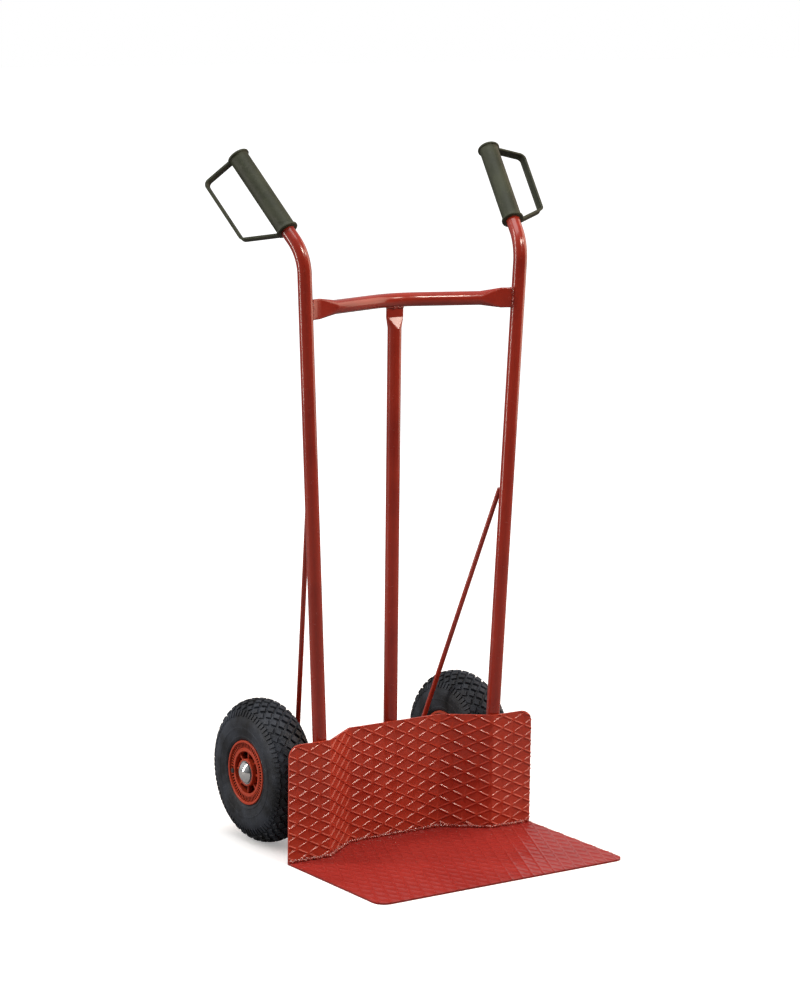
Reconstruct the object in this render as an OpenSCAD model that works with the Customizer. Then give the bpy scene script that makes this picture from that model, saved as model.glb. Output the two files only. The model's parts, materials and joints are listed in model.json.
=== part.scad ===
// Hand truck: a bent-tube frame with a chequered toe plate, folded back plate,
// two air-tyred wheels and two grips with knuckle guards. Millimetres, +Z up.
// The origin is on the floor, on the centreline, under the face of the back plate's flanges.
// The toe plate points along -Y.

/* [Frame] */
// Outside diameter of the frame tubes
tube_d = 25; // [22:0.5:26]
// Wall of the frame tubes
tube_wall = 1.5; // [1:0.1:2.5]
// Distance of a rail from the centreline at floor level
rail_x = 178; // [177.5:0.5:184]
// Distance of a rail's centre behind the flanges
rail_y = 18; // [18:0.5:22]
// Sideways lean of the rails, in degrees
rail_lean = 2.8; // [2:0.1:4]
// Height of the rails' open lower ends
rail_foot_z = 12; // [8:1:40]
// Height where the rail and handle centre lines meet
bend_z = 1066; // [1040:1:1100]
// Centre-line radius of the handle bend
bend_r = 80; // [60:5:100]
// Angle of the handle bend
bend_angle = 44.5; // [40:0.5:50]
// Outward turn of the handle
toe_out = 10.7; // [6:0.1:14]
// Height of the crossbar's centre line
crossbar_z = 971.5; // [940:0.5:990]
// Slope of the crossbar's two legs, in degrees
crossbar_slope = 18; // [14:1:20]
// Centre-line radius of the crossbar's bend
crossbar_r = 150; // [100:10:200]
// How far the crossbar's bend stands behind the flanges
crossbar_y = 80; // [76:0.5:84]
// Width of a pressed tube end
pressed_w = 36; // [32:1:38]
// Thickness of a pressed tube end
pressed_t = 5; // [4:0.5:6]
// Diameter of the brace rods
brace_d = 9; // [8:0.5:9]

/* [Plates] */
// Thickness of both chequered plates
plate_t = 3; // [2.5:0.1:3]
// Width of the toe plate and of the back plate
plate_w = 525; // [500:5:540]
// Depth of the toe plate in front of the flanges
toe_depth = 285; // [260:5:300]
// Height of the back plate's top edge
back_h = 214; // [200:1:230]
// Distance of the outer folds from the centreline
outer_fold_x = 176; // [170:1:177]
// Distance of the inner folds from the centreline
inner_fold_x = 99; // [90:1:110]
// Depth of the recess between the folds
recess_depth = 57; // [50:1:60]
// Corner radius of the plates
corner_r = 22; // [10:1:30]

/* [Grips] */
// Where the grip starts, measured from the bend's corner along the handle
grip_start = 55; // [50:1:60]
// Length of the grip
grip_l = 173; // [165:1:185]
// Diameter of the grip's sleeve
grip_d = 34.5; // [32:0.5:36]
// Diameter of the grip's end rings
ring_d = 40; // [38:0.5:42]
// Distance from the grip's axis to the guard's outer bar
guard_reach = 74; // [66:1:80]
// Width of the guard strip
guard_w = 15; // [12:1:18]
// Thickness of the guard strip
guard_t = 4.5; // [3.5:0.5:6]
// How far the left grip's guard is turned down round the handle
left_guard_turn = 57; // [0:1:60]
// How far the right grip's guard is turned down round the handle
right_guard_turn = 11; // [0:1:60]

/* [Wheels] */
// Outside diameter of the tyre
tyre_d = 260; // [255:1:262]
// Width of the tyre
tyre_w = 85; // [82:1:86]
// Distance of a wheel's middle plane from the centreline
wheel_x = 215; // [214:1:222]
// Distance of the axle behind the flanges
axle_y = 159; // [156:1:170]
// Diameter of the axle bar
axle_d = 20; // [19.9:0.1:20]
// Diameter of the axle tube between the wheels
axle_tube_d = 34; // [33:0.5:34]
// Diameter of the rim's outer ring
rim_d = 116; // [114:1:117]
// Number of spokes in each half of a rim
spoke_count = 8; // [6:1:9]
// Number of small pockets round each rim face
pocket_count = 60; // [40:4:64]

/* [Hidden] */
$fn = 96;

PAINT = [0.66, 0.17, 0.11];
GRIP = [0.2, 0.21, 0.16];
RUBBER = [0.09, 0.1, 0.11];
STEEL = [0.62, 0.63, 0.65];
CHROME = [0.85, 0.86, 0.88];
RIM = [0.72, 0.2, 0.12];

tube_r = tube_d / 2;
axle_r = axle_d / 2;
axle_z = tyre_d / 2;
bend_tangent = bend_r * tan(bend_angle / 2);
rail_run = bend_z / cos(rail_lean);
foot_run = rail_foot_z / cos(rail_lean);
tube_end = grip_start + grip_l - 7;
past = 1;          // how far a cutter runs past a face
running = 0.05;    // radial clearance of a running fit
gap = 0.3;         // clearance between pieces that turn past each other
swell = 0.15;      // a bent stretch of tube is this much fatter than a straight one
lap = 1;           // how far a straight stretch runs into a bent one
plan_fold = atan(recess_depth / (outer_fold_x - inner_fold_x));
mitre = plate_t * tan(plan_fold / 2);

// Pressed tube ends: length of the press and of the flat tab past it
press_l = 40;
press_tab_l = 26;
tab_press_l = 19;
tab_top_z = crossbar_z - 6;
tab_bottom_z = crossbar_z - 30;

// Ends of the left and right brace rods' centre lines, for the right side
brace_top = [206.5, 35.5, 624];
brace_foot = [128.6, 187, 112];

// Axle brackets
bracket_x = 143;
bracket_t = 6;
bracket_eye_r = 28;
bracket_low_z = 42;
bracket_high_z = 204;

// Rim, measured from the wheel's middle plane
rim_face = 39;
rim_lip = 3;
barrel_r = 52;
barrel_wall = 3;
spoke_ring_r = 42;
spoke_ring_wall = 4;
web_low = 2;
web_t = 3;
pocket_floor = 24;
pocket_depth = 9;
pocket_top = 35;
pocket_size = [6.4, 2.8];
boss_r = 24.5;
boss_bore_r = 17.5;
bearing_r = 21;
bearing_l = 12;
hub_face = 38.5;
seat_r = bearing_r + running;
screw_ring_r = 31;
screw_r = 2.5;
screw_count = 4;
valve_r = 45.5;
valve_z = 14;
valve_turn = -8;

// Tyre section, centred at half height of the rubber
section_r = 86;
bead_flat = 35.9;

function point_on(centre, r, a) = centre + r * [cos(a), sin(a)];

// Tyre outline: half width w, reaches up and down, rounder towards the crown than towards the rim
function squircle(w, up, down, steps = 48) = [
  for (i = [0:steps - 1])
    let (a = 360 * i / steps, c = cos(a), s = sin(a), reach = s > 0 ? up : down, fullness = s > 0 ? 0.92 : 0.8)
      [section_r + reach * sign(s) * pow(abs(s), fullness), w * sign(c) * pow(abs(c), fullness)]
];

// Centre line through three or more corners, each rounded to radius r
function rounded(p, r, steps = 6) = [
  p[0],
  for (i = [1:len(p) - 2])
    let (
      u = (p[i - 1] - p[i]) / norm(p[i - 1] - p[i]),
      v = (p[i + 1] - p[i]) / norm(p[i + 1] - p[i]),
      half = acos(u * v) / 2,
      centre = p[i] + (u + v) / norm(u + v) * r / sin(half),
      a0 = atan2(-(u + v)[1], -(u + v)[0]),
      side = sign(u[0] * v[1] - u[1] * v[0])
    )
      for (k = [0:steps])
        point_on(centre, r, a0 + side * (90 - half) * (1 - 2 * k / steps)),
  p[len(p) - 1]
];

// Closed outline of a strip of thickness t along a centre line
function strip(p, t) = let (
  n = len(p),
  along = [for (i = [0:n - 1]) p[min(i + 1, n - 1)] - p[max(i - 1, 0)]],
  across = [for (d = along) [-d[1], d[0]] / norm(d) * t / 2]
) concat([for (i = [0:n - 1]) p[i] + across[i]], [for (i = [n - 1:-1:0]) p[i] - across[i]]);

module on_side(side) {
  if (side > 0) children();
  else mirror([1, 0, 0]) children();
}

// Straight round bar or tube between two points
module rod(a, b, d) {
  v = b - a;
  translate(a)
    rotate([0, acos(v[2] / norm(v)), atan2(v[1], v[0])])
      cylinder(h = norm(v), d = d);
}

module ring(r, bore, h) {
  difference() {
    cylinder(h = h, r = r);
    translate([0, 0, -past]) cylinder(h = h + 2 * past, r = bore);
  }
}

module slot_shape(w, t) {
  for (x = [-1, 1]) translate([x * (w - t) / 2, 0]) circle(d = t);
  square([w - t, t], center = true);
}

// ---- frame tubes ----

// Right side: the rail's lower centre line, from the floor up
module rail_line() {
  translate([rail_x, rail_y, 0]) rotate([0, rail_lean, 0]) children();
}

// Right side: the handle's centre line, from the corner of the bend up
module handle_line() {
  rail_line() translate([0, 0, rail_run])
    rotate([0, 0, -toe_out]) rotate([-bend_angle, 0, 0]) children();
}

module rail_solid(r, extra) {
  rail_line() {
    translate([0, 0, foot_run - extra])
      cylinder(h = rail_run - bend_tangent - foot_run + extra + lap, r = r);
    translate([0, 0, rail_run - bend_tangent])
      rotate([0, 0, -toe_out]) translate([0, bend_r, 0]) rotate([90, 0, -90])
        rotate_extrude(angle = bend_angle) translate([bend_r, 0]) circle(r = r + swell);
  }
  handle_line() translate([0, 0, bend_tangent - lap])
    cylinder(h = tube_end - bend_tangent + extra + lap, r = r);
}

module rail(side) {
  color(PAINT) on_side(side) difference() {
    rail_solid(tube_r, 0);
    rail_solid(tube_r - tube_wall, past);
  }
}

// Tube end pressed from round to a flat tab, along +Z, the tab's width along X
module pressed_end(press, tab) {
  hull() {
    cylinder(h = 0.1, r = tube_r, $fn = 32);
    translate([0, 0, press]) linear_extrude(0.1) slot_shape(pressed_w, pressed_t, $fn = 32);
  }
  translate([0, 0, press]) linear_extrude(tab) slot_shape(pressed_w, pressed_t);
}

// Right side: where the crossbar's straight leg starts, and its round length
leg_start = [crossbar_r * sin(crossbar_slope), crossbar_y - crossbar_r * (1 - cos(crossbar_slope))];
round_l = (rail_x + crossbar_z * tan(rail_lean) - tube_r - leg_start[0]) / cos(crossbar_slope)
  - press_l - press_tab_l + 5;

module crossbar_leg_line() {
  translate([leg_start[0], leg_start[1], crossbar_z]) rotate([0, 90, -crossbar_slope]) children();
}

module crossbar_leg() {
  crossbar_leg_line() {
    translate([0, 0, -lap]) cylinder(h = round_l + lap, r = tube_r);
    translate([0, 0, round_l]) pressed_end(press_l, press_tab_l);
  }
}

module crossbar_bend(r) {
  translate([0, crossbar_y - crossbar_r, crossbar_z]) rotate([0, 0, 90 - crossbar_slope])
    rotate_extrude(angle = 2 * crossbar_slope) translate([crossbar_r, 0]) circle(r = r + swell);
}

module crossbar() {
  bore_r = tube_r - tube_wall;
  color(PAINT) difference() {
    union() {
      crossbar_bend(tube_r);
      for (side = [-1, 1]) on_side(side) crossbar_leg();
    }
    crossbar_bend(bore_r);
    for (side = [-1, 1]) on_side(side) {
      crossbar_leg_line() translate([0, 0, -lap]) cylinder(h = round_l, r = bore_r);
      rail_line() translate([0, 0, crossbar_z - 60]) cylinder(h = 120, r = tube_r);
    }
  }
}

// The centre tube leans back from the plate to the crossbar
centre_low_y = recess_depth + plate_t + tube_r + 0.1;
centre_lean = atan((crossbar_y - 2 - centre_low_y) / crossbar_z);

module centre_tube() {
  round_l = tab_bottom_z - tab_press_l - rail_foot_z;
  color(PAINT) difference() {
    translate([0, centre_low_y, rail_foot_z]) rotate([-centre_lean, 0, 0]) {
      difference() {
        cylinder(h = round_l, r = tube_r);
        translate([0, 0, -past]) cylinder(h = round_l, r = tube_r - tube_wall);
      }
      translate([0, 0, round_l]) pressed_end(tab_press_l, tab_top_z - tab_bottom_z);
    }
    crossbar_bend(tube_r);
  }
}

module brace(side) {
  color(PAINT) on_side(side) rod(brace_foot, brace_top, brace_d);
}

// ---- plates ----

// Outline of the back plate's front face, or of its back face when moved by plate_t
function fold_line(y, dx) = [
  [-plate_w / 2, y], [-outer_fold_x - dx, y], [-inner_fold_x - dx, recess_depth + y],
  [inner_fold_x + dx, recess_depth + y], [outer_fold_x + dx, y], [plate_w / 2, y]
];
front_line = fold_line(0, 0);
rear_line = fold_line(plate_t, mitre);

module corner_cut(x, y) {
  translate([x, y]) difference() {
    translate([0, 0]) square(corner_r + past);
    circle(r = corner_r);
  }
}

module toe_plate() {
  color(PAINT) linear_extrude(plate_t) difference() {
    polygon(concat([for (i = [0:5]) rear_line[i]],
      [[plate_w / 2, -toe_depth], [-plate_w / 2, -toe_depth]]));
    for (side = [0, 1]) mirror([side, 0]) mirror([0, 1])
      corner_cut(plate_w / 2 - corner_r, toe_depth - corner_r);
  }
}

module back_plate() {
  color(PAINT) difference() {
    translate([0, 0, plate_t]) linear_extrude(back_h - plate_t)
      polygon(concat(front_line, [for (i = [5:-1:0]) rear_line[i]]));
    for (side = [0, 1]) mirror([side, 0, 0]) rotate([90, 0, 0]) translate([0, 0, -recess_depth])
      linear_extrude(2 * recess_depth) corner_cut(plate_w / 2 - corner_r, back_h - corner_r);
  }
}

// Bead in the corner between the two plates
module toe_weld() {
  color(PAINT) difference() {
    for (i = [0:4]) {
      a = [front_line[i][0], front_line[i][1], plate_t];
      b = [front_line[i + 1][0], front_line[i + 1][1], plate_t];
      over = (b - a) / norm(b - a) * 1.5;
      rod(i > 0 ? a - over : a, i < 4 ? b + over : b, 8);
    }
    translate([0, 0, -past]) linear_extrude(plate_t + past) square(4 * plate_w, center = true);
    linear_extrude(back_h) polygon(concat(front_line, [[plate_w, 0], [plate_w, plate_w],
      [-plate_w, plate_w], [-plate_w, 0]]));
  }
}

// Beads where the tubes meet the plates, the crossbar and the brackets
module weld_lines() {
  // rail to flange, both sides of the rail
  for (dx = [-6, 6]) rail_line() translate([dx, 3.4 + plate_t - rail_y, 24]) cylinder(h = 170, r = 3);
  // crossbar tab to rail
  for (dy = [-4, 4]) translate([rail_x + crossbar_z * tan(rail_lean) - tube_r, rail_y + 1 + dy, crossbar_z - 16])
    cylinder(h = 32, r = 2.5);
  // centre tube tab to crossbar
  for (dy = [-4, 4]) translate([-15, crossbar_y - 2 + dy, crossbar_z - tube_r + 1.5]) rotate([0, 90, 0])
    cylinder(h = 30, r = 2.5);
  // brace to rail and to axle tube
  rod(brace_top + [1.5, -4, -2], brace_top + [-2, -1, -26], 7);
  for (dx = [-4, 4]) translate([131 + dx, axle_y + axle_tube_d / 2 + 2, axle_z - 7]) cylinder(h = 14, r = 3);
  // bracket to back plate
  for (dx = [-4, 4]) translate([bracket_x + dx, panel_back(bracket_x + dx) + 0.6, bracket_low_z + 6])
    cylinder(h = bracket_high_z - bracket_low_z - 12, r = 2);
  // bracket to axle tube
  translate([bracket_x - bracket_t / 2 - 2, axle_y, axle_z]) rotate([0, 90, 0]) rotate_extrude()
    translate([axle_tube_d / 2 + 0.6, 0]) circle(r = 2.4);
}

module frame_welds() {
  color(PAINT) for (side = [-1, 1]) on_side(side) difference() {
    weld_lines();
    rail_solid(tube_r, 0);
    crossbar_leg();
    crossbar_bend(tube_r);
    translate([0, 0, plate_t]) linear_extrude(back_h - plate_t)
      polygon(concat(front_line, [for (i = [5:-1:0]) rear_line[i]]));
    translate([0, centre_low_y, rail_foot_z]) rotate([-centre_lean, 0, 0])
      translate([0, 0, tab_bottom_z - rail_foot_z - tab_press_l]) pressed_end(tab_press_l, 40);
    rod(brace_foot, brace_top, brace_d);
    axle_bracket_solid();
    translate([0, axle_y, axle_z]) rotate([0, 90, 0]) cylinder(h = wheel_x, r = axle_tube_d / 2);
  }
}

// ---- axle ----

// How far back the angled panel's rear face stands at a distance x from the centreline
function panel_back(x) = (outer_fold_x - x) * tan(plan_fold) + plate_t / cos(plan_fold);

module at_axle() {
  translate([0, axle_y, axle_z]) rotate([0, 90, 0]) children();
}

module axle_bracket_solid() {
  front_y = panel_back(bracket_x - bracket_t / 2) + 0.2;
  eye = [axle_y, axle_z];
  translate([bracket_x - bracket_t / 2, 0, 0]) rotate([90, 0, 90]) linear_extrude(bracket_t) difference() {
    union() {
      polygon([[front_y, bracket_low_z], point_on(eye, bracket_eye_r, -70),
        point_on(eye, bracket_eye_r, 70), [front_y, bracket_high_z]]);
      translate(eye) circle(r = bracket_eye_r);
    }
    translate(eye) circle(r = axle_tube_d / 2 + 0.02);
  }
}

module axle_bracket(side) {
  color(PAINT) on_side(side) axle_bracket_solid();
}

tube_half = wheel_x - 50;
bush_out = wheel_x - hub_face - gap;

module axle_tube() {
  color(PAINT) at_axle() translate([0, 0, -tube_half]) ring(axle_tube_d / 2, axle_tube_d / 2 - 3, 2 * tube_half);
}

module axle() {
  half = wheel_x + hub_face + 5;
  color(STEEL) at_axle() translate([0, 0, -half]) cylinder(h = 2 * half, r = axle_r);
}

// Bush that centres the bar in the end of the axle tube and spaces the wheel from it
module axle_bush(side) {
  color(STEEL) on_side(side) at_axle() {
    translate([0, 0, tube_half - 15]) ring(axle_tube_d / 2 - 3.02, axle_r + running, 15);
    translate([0, 0, tube_half]) ring(15, axle_r + running, bush_out - tube_half);
  }
}

washer_t = 1.5;
module hub_washer(side) {
  color(STEEL) on_side(side) at_axle()
    translate([0, 0, wheel_x + hub_face + gap]) ring(15, axle_r + running, washer_t);
}

// Push-on dome cap on the end of the bar
cap_r = 19;
cap_h = 8;
cap_ball_r = (cap_r * cap_r + cap_h * cap_h) / (2 * cap_h);
module hub_cap(side) {
  color(CHROME) on_side(side) at_axle() translate([0, 0, wheel_x + hub_face + gap + washer_t]) {
    difference() {
      intersection() {
        translate([0, 0, cap_h - cap_ball_r]) sphere(r = cap_ball_r);
        cylinder(h = cap_h + past, r = cap_r + past);
      }
      translate([0, 0, cap_h - cap_ball_r]) sphere(r = cap_ball_r - 1);
    }
    ring(12, axle_r, 4.5);
  }
}

// ---- wheels: built along +Z from the middle plane, the outer face up ----

module at_wheel(side) {
  on_side(side) translate([wheel_x, axle_y, axle_z]) rotate([0, 90, 0]) rotate([0, 0, 90]) children();
}

module tyre(side) {
  color(RUBBER) at_wheel(side) rotate_extrude() difference() {
    polygon(squircle(tyre_w / 2, tyre_d / 2 - section_r, 50));
    polygon(squircle(tyre_w / 2 - 6.5, tyre_d / 2 - section_r - 10.5, 40));
    translate([0, -tyre_w]) square([barrel_r + 0.1, 2 * tyre_w]);
    for (s = [-1, 1]) mirror([0, s > 0 ? 0 : 1]) translate([0, bead_flat]) square([rim_d / 2 + 0.2, tyre_w]);
  }
}

module inner_tube(side) {
  tube_ring_r = 88.5;
  tube_section_r = 29.5;
  color(RUBBER) at_wheel(side) rotate_extrude() translate([tube_ring_r, 0]) difference() {
    circle(r = tube_section_r);
    circle(r = tube_section_r - 2);
  }
}

// Everything of one rim half that turns on a lathe: boss, web, rings and lip
module rim_turning() {
  rotate_extrude() {
    difference() {
      translate([boss_bore_r, 0]) square([boss_r - boss_bore_r, hub_face]);
      translate([0, hub_face - bearing_l - 2 * running]) square([seat_r, bearing_l + past]);
    }
    translate([boss_r - past, web_low]) square([barrel_r - boss_r, web_t]);
    translate([spoke_ring_r - spoke_ring_wall, web_low]) square([spoke_ring_wall, rim_face - 2 - web_low]);
    translate([spoke_ring_r - past, pocket_floor]) square([barrel_r - spoke_ring_r, pocket_top - pocket_floor]);
    translate([barrel_r - barrel_wall, 0]) square([barrel_wall, rim_face]);
    translate([barrel_r - past, rim_face - rim_lip]) square([rim_d / 2 - barrel_r + past, rim_lip]);
  }
}

module rim_half() {
  difference() {
    union() {
      rim_turning();
      for (i = [0:spoke_count - 1]) rotate(360 * i / spoke_count)
        translate([boss_r - past, -2, web_low + past]) cube([spoke_ring_r - boss_r - past, 4, 27]);
    }
    for (i = [0:pocket_count - 1]) rotate(360 * (i + 0.5) / pocket_count)
      translate([spoke_ring_r + 0.4, -pocket_size[1] / 2, pocket_top - pocket_depth])
        cube([pocket_size[0], pocket_size[1], pocket_depth + past]);
    for (i = [0:screw_count - 1]) rotate(360 * (i + 0.25) / screw_count)
      translate([screw_ring_r, 0, -past]) cylinder(h = web_low + web_t + 2 * past, r = screw_r + 0.1);
  }
}

// Pocket for the valve, cut through the rings of the outer half
module valve_pocket() {
  rotate(valve_turn) {
    translate([valve_r, 0, valve_z - 6]) cylinder(h = rim_face, r = 6);
    translate([valve_r, 0, valve_z]) rotate([0, 90, 0]) cylinder(h = 10, r = 4.3);
  }
}

module rim_outer(side) {
  color(RIM) at_wheel(side) difference() {
    translate([0, 0, 0.05]) rim_half();
    valve_pocket();
  }
}

module rim_inner(side) {
  color(RIM) at_wheel(side) mirror([0, 0, 1]) translate([0, 0, 0.05]) rim_half();
}

module rim_screws(side) {
  grip_z = web_low + web_t + 0.1;
  color(STEEL) at_wheel(side)
    for (i = [0:screw_count - 1]) rotate(360 * (i + 0.25) / screw_count) translate([screw_ring_r, 0, 0]) {
      translate([0, 0, -grip_z - 5]) cylinder(h = 2 * grip_z + 6, r = screw_r);
      translate([0, 0, grip_z]) cylinder(h = 3.5, r = 4.6);
      translate([0, 0, -grip_z - 4]) cylinder(h = 4, r = 4.6, $fn = 6);
    }
}

// Sealed ball bearing, its races proud of the seals
module bearing() {
  rotate_extrude() difference() {
    translate([axle_r + running, 0]) square([bearing_r - axle_r - running, bearing_l]);
    for (y = [-past, bearing_l - 0.6]) translate([13, y]) square([5, past + 0.6]);
  }
}

module bearing_outer(side) {
  color(STEEL) at_wheel(side) translate([0, 0, hub_face - bearing_l]) bearing();
}

module bearing_inner(side) {
  color(STEEL) at_wheel(side) translate([0, 0, -hub_face]) bearing();
}

module bearing_spacer(side) {
  half = hub_face - bearing_l - 0.1;
  color(STEEL) at_wheel(side) translate([0, 0, -half]) ring(13.5, axle_r + 0.5, 2 * half);
}

// Rubber stem: out of the tube through the barrel, then bent towards the outer face
module valve_stem(side) {
  color(RUBBER) at_wheel(side) rotate(valve_turn) {
    translate([valve_r, 0, valve_z]) rotate([0, 90, 0]) cylinder(h = 57 - valve_r, r = 4);
    translate([valve_r, 0, valve_z]) sphere(r = 4);
    translate([valve_r, 0, valve_z]) cylinder(h = 14, r = 4);
    translate([valve_r, 0, valve_z + 14]) cylinder(h = 6, r = 2.6);
  }
}

module valve_cap(side) {
  color(RUBBER) at_wheel(side) rotate(valve_turn) translate([valve_r, 0, valve_z + 14.2]) difference() {
    cylinder(h = 10, r = 4.4);
    translate([0, 0, -past]) cylinder(h = 7 + past, r = 2.65);
  }
}

// ---- grips: built along the handle from its lower end ----

ring_t = 4.5;
low_corner = 38;
top_corner = grip_l - 8;

module grip_body() {
  difference() {
    union() {
      cylinder(h = grip_l - ring_t, d = grip_d);
      cylinder(h = ring_t, d = ring_d);
      translate([0, 0, grip_l - ring_t - 2]) cylinder(h = ring_t, d = ring_d);
      // slightly domed end
      intersection() {
        translate([0, 0, grip_l - 86]) sphere(r = 86);
        translate([0, 0, grip_l - 5]) cylinder(h = 5, d = ring_d - 3);
      }
    }
    translate([0, 0, -past]) cylinder(h = tube_end - grip_start + past + 0.1, r = tube_r + 0.03);
  }
}

// Guard: a strip from the lower ring out, up beside the sleeve and back to the upper ring
module grip_guard() {
  foot = ring_d / 2 - 3;
  line = rounded([[foot, ring_t / 2], [guard_reach, low_corner], [guard_reach, top_corner],
    [foot, grip_l - ring_t]], 9);
  rotate([90, 0, 0]) linear_extrude(guard_w, center = true) polygon(strip(line, guard_t));
}

module grip(side, turn) {
  color(GRIP) on_side(side) handle_line() translate([0, 0, grip_start]) {
    grip_body();
    rotate(turn) grip_guard();
  }
}

rail(-1);  // left_rail
rail(1);  // right_rail
crossbar();
centre_tube();
toe_plate();
back_plate();
toe_weld();
frame_welds();
brace(-1);  // left_brace
brace(1);  // right_brace
grip(-1, left_guard_turn);  // left_grip
grip(1, right_guard_turn);  // right_grip
axle();
axle_tube();
axle_bracket(-1);  // left_axle_bracket
axle_bracket(1);  // right_axle_bracket
axle_bush(-1);  // left_axle_bush
axle_bush(1);  // right_axle_bush
hub_washer(-1);  // left_hub_washer
hub_washer(1);  // right_hub_washer
hub_cap(-1);  // left_hub_cap
hub_cap(1);  // right_hub_cap
tyre(-1);  // left_tyre
inner_tube(-1);  // left_inner_tube
rim_outer(-1);  // left_rim_outer
rim_inner(-1);  // left_rim_inner
rim_screws(-1);  // left_rim_screws
bearing_outer(-1);  // left_bearing_outer
bearing_inner(-1);  // left_bearing_inner
bearing_spacer(-1);  // left_bearing_spacer
valve_stem(-1);  // left_valve_stem
valve_cap(-1);  // left_valve_cap
tyre(1);  // right_tyre
inner_tube(1);  // right_inner_tube
rim_outer(1);  // right_rim_outer
rim_inner(1);  // right_rim_inner
rim_screws(1);  // right_rim_screws
bearing_outer(1);  // right_bearing_outer
bearing_inner(1);  // right_bearing_inner
bearing_spacer(1);  // right_bearing_spacer
valve_stem(1);  // right_valve_stem
valve_cap(1);  // right_valve_cap
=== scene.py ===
# Hand truck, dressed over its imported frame. Metres, +Z up, -Y towards the load, +X to the right as seen
# from the front.
import json
import math

import bmesh
import bpy
from mathutils import Matrix, Quaternion, Vector


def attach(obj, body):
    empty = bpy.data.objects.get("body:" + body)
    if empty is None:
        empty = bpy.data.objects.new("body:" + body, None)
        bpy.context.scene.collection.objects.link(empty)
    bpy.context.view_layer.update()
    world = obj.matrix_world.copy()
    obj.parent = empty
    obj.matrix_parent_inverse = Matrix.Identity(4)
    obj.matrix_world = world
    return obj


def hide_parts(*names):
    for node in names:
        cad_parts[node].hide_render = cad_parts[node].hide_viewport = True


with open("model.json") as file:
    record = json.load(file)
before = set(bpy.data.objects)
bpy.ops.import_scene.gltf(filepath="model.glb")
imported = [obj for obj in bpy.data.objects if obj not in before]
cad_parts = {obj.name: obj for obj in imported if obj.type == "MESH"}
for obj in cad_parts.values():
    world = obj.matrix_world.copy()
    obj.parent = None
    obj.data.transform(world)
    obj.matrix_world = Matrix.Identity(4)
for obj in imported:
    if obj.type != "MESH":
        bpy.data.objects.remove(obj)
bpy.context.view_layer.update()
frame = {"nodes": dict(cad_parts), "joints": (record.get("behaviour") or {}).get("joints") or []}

# ---- Camera and studio ----
# A long lens at head height looks down a little from the front left. The floor is plain and pale. Two
# small warm lamps stand in front, a strip on the left and a soft lamp on the right, and a broad lamp
# hangs above.
MM = 0.001
scene = bpy.context.scene
scene.view_settings.view_transform = "Standard"
eye = Vector((-3.188, -4.557, 1.599))
aim = Vector((0.005, 0.060, 0.609))
roll = math.radians(0.83)
lens = 114.5

camera = bpy.data.objects.new("camera", bpy.data.cameras.new("camera"))
camera.data.lens = lens
camera.data.clip_end = 60
camera.rotation_mode = "QUATERNION"
camera.location = eye
camera.rotation_quaternion = (aim - eye).to_track_quat("-Z", "Y") @ Quaternion((0, 0, 1), roll)
scene.collection.objects.link(camera)
scene.camera = camera


def lamp(name, place, target, size, power, tint=(1, 1, 1)):
    """An area lamp turned to its target."""
    data = bpy.data.lights.new(name, "AREA")
    data.shape = "RECTANGLE"
    data.size, data.size_y = size
    data.energy = power
    data.color = tint
    thing = bpy.data.objects.new(name, data)
    thing.location = place
    thing.rotation_euler = (Vector(target) - Vector(place)).to_track_quat("-Z", "Y").to_euler()
    scene.collection.objects.link(thing)


middle = (0, 0, 0.6)
WARM, WARM_SIDE = (1.0, 0.88, 0.76), (1.0, 0.72, 0.55)
lamp("key_lamp", (0.2, -2.6, 3.4), (0, 0, 0.7), (0.8, 0.6), 62, WARM)
lamp("second_lamp", (2.0, -2.0, 2.9), (0, 0, 0.8), (0.9, 0.5), 24, (1.0, 0.86, 0.74))
lamp("left_strip", (-2.4, 1.3, 1.5), middle, (0.30, 2.8), 46, (1.0, 0.93, 0.86))
lamp("right_soft", (2.6, -0.4, 1.5), middle, (2.2, 2.6), 44, WARM_SIDE)
lamp("top_lamp", (-0.6, 0.2, 4.2), middle, (3.0, 3.0), 92)


class Net:
    """A node tree being built: one method adds any node, its settings first and then its sockets."""

    def __init__(self, tree):
        self.tree = tree

    def add(self, kind, settings=None, sockets=None, out=0):
        node = self.tree.nodes.new(kind)
        for name, value in (settings or {}).items():
            if name == "stops":
                marks = node.color_ramp.elements
                while len(marks) < len(value):
                    marks.new(1)
                for mark, (position, shade) in zip(marks, value):
                    mark.position = position
                    mark.color = shade
            else:
                setattr(node, name, value)
        for key, value in (sockets or {}).items():
            self.feed(node.inputs[key], value)
        return Amount(self, node.outputs[out])

    def feed(self, socket, value):
        if isinstance(value, Amount):
            self.tree.links.new(value.socket, socket)
        else:
            socket.default_value = value


class Amount:
    """One value in a node tree. Arithmetic on it adds Math nodes."""

    def __init__(self, net, socket):
        self.net = net
        self.socket = socket

    def math(self, operation, *others):
        return self.net.add("ShaderNodeMath", {"operation": operation}, dict(enumerate((self, *others))))

    def __add__(self, other):
        return self.math("ADD", other)

    __radd__ = __add__

    def __mul__(self, other):
        return self.math("MULTIPLY", other)

    __rmul__ = __mul__

    def __sub__(self, other):
        return self.math("SUBTRACT", other)

    def __rsub__(self, other):
        return self.net.add("ShaderNodeMath", {"operation": "SUBTRACT"}, {0: other, 1: self})

    def __truediv__(self, other):
        return self.math("DIVIDE", other)

    def __pow__(self, other):
        return self.math("POWER", other)

    def between(self, low, high, start=0.0, end=1.0):
        sockets = {"Value": self, "From Min": low, "From Max": high, "To Min": start, "To Max": end}
        return self.net.add("ShaderNodeMapRange", {"interpolation_type": "SMOOTHSTEP"}, sockets)


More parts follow.
